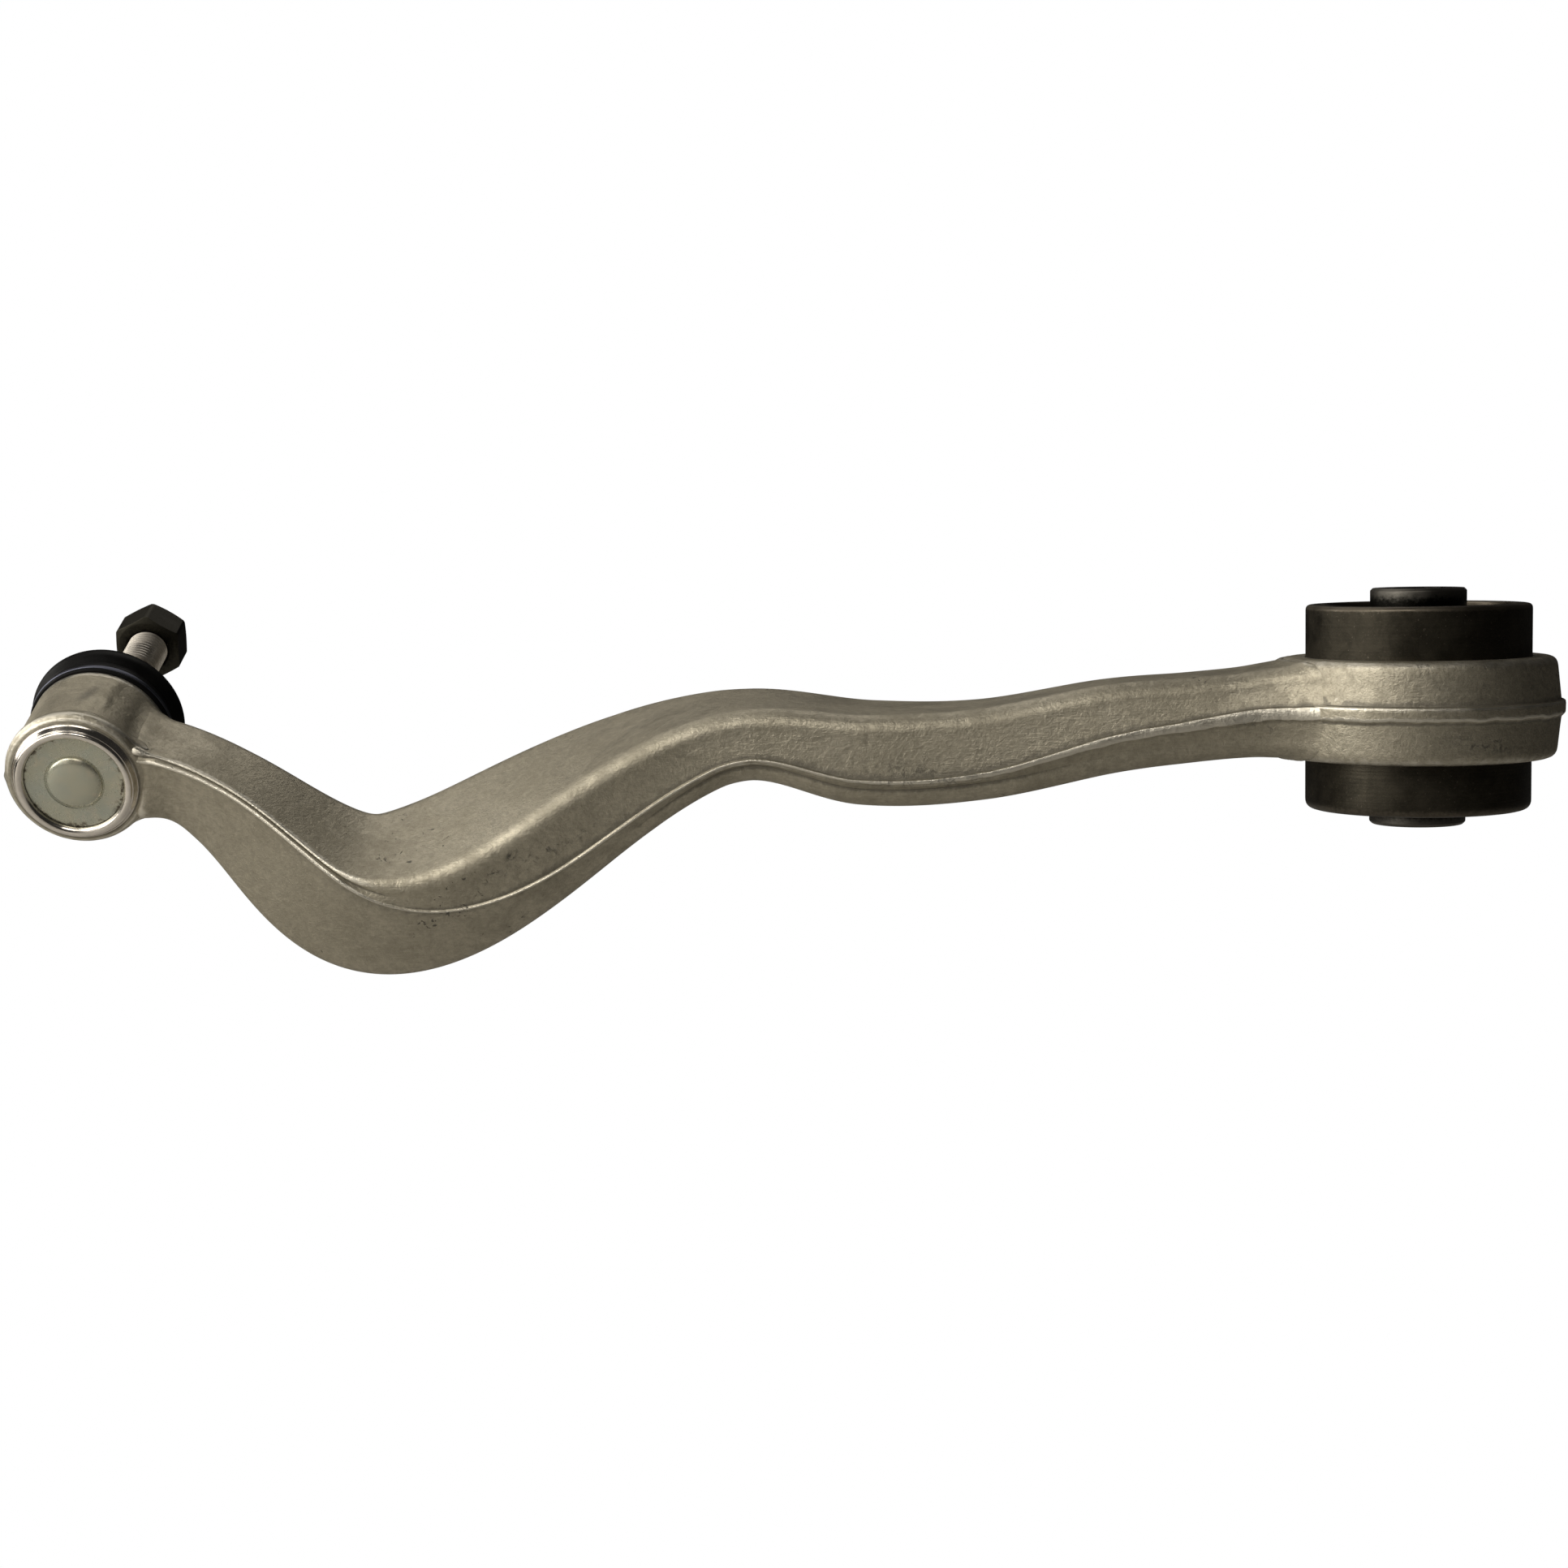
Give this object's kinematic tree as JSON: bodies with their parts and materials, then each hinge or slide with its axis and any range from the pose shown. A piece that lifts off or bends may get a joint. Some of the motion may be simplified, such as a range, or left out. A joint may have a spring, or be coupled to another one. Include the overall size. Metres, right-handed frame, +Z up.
{
  "type": "suspension control arm",
  "caption": "Forged S-shaped control arm with a fluid-filled rubber bushing in a ring eye at one end and a crimped ball joint with stud and nut at the other.",
  "frame": {"origin": "middle of the bushing's bolt bore", "axes": "+Z up along the bushing's bore; -X towards the ball joint; the ball joint's stud rises towards +Y and +Z"},
  "size_m": [0.4329, 0.1189, 0.1069],
  "materials": {
    "arm_forging": "forged and tumbled, satin, with trimmed parting edge",
    "cover_plate": "zinc plated, pale yellow-green passivation",
    "seat_preload_ring": "plain black rubber",
    "ball_seat": "natural acetal",
    "ball_stud": "ground steel, rolled thread",
    "stud_nut": "black phosphated",
    "dust_boot": "black moulded rubber",
    "boot_housing_ring": "black coated spring steel",
    "boot_stud_ring": "black coated spring steel",
    "boot_seal_ring": "dark moulded plastic",
    "bushing_can": "dark oiled steel",
    "bushing_sleeve": "dark oiled steel",
    "bushing_rubber": "black moulded rubber",
    "bushing_cage": "plain steel",
    "channel_half_outer": "glass-filled plastic",
    "channel_half_inner": "glass-filled plastic",
    "bump_stop_outer": "hard plastic",
    "bump_stop_inner": "hard plastic",
    "end_shield_top": "black coated steel",
    "end_shield_bottom": "black coated steel"
  },
  "bodies": {
    "arm": {"arm_forging": "arm_forging", "cover_plate": "cover_plate", "seat_preload_ring": "seat_preload_ring", "boot_housing_ring": "boot_housing_ring", "dust_boot": "dust_boot", "bushing_can": "bushing_can", "bushing_rubber": "bushing_rubber", "bushing_cage": "bushing_cage", "channel_half_outer": "channel_half_outer", "channel_half_inner": "channel_half_inner", "end_shield_top": "end_shield_top", "end_shield_bottom": "end_shield_bottom"},
    "seat": {"ball_seat": "ball_seat"},
    "collar": {"boot_stud_ring": "boot_stud_ring", "boot_seal_ring": "boot_seal_ring"},
    "stud": {"ball_stud": "ball_stud", "stud_nut": "stud_nut"},
    "core": {"bushing_sleeve": "bushing_sleeve", "bump_stop_outer": "bump_stop_outer", "bump_stop_inner": "bump_stop_inner"}
  },
  "joints": [
    {"name": "bushing_twist", "type": "hinge", "parent": "arm", "child": "core", "pos_m": [0, 0, 0], "axis": [0, 0, 1], "range_deg": [-15, 15], "stiffness_Nm_per_rad": 80},
    {"name": "ball_swivel", "type": "hinge", "parent": "arm", "child": "seat", "pos_m": [-0.371, 0, -0.0105], "axis": [-0.0402, 0.9196, 0.3907], "continuous": true},
    {"name": "ball_tilt", "type": "hinge", "parent": "seat", "child": "collar", "pos_m": [-0.371, 0, -0.0105], "axis": [0.999, 0.0436, 0], "range_deg": [-20, 20], "deforming": ["dust_boot"]},
    {"name": "stud_spin", "type": "hinge", "parent": "collar", "child": "stud", "pos_m": [-0.371, 0, -0.0105], "axis": [-0.0402, 0.9196, 0.3907], "continuous": true}
  ]
}
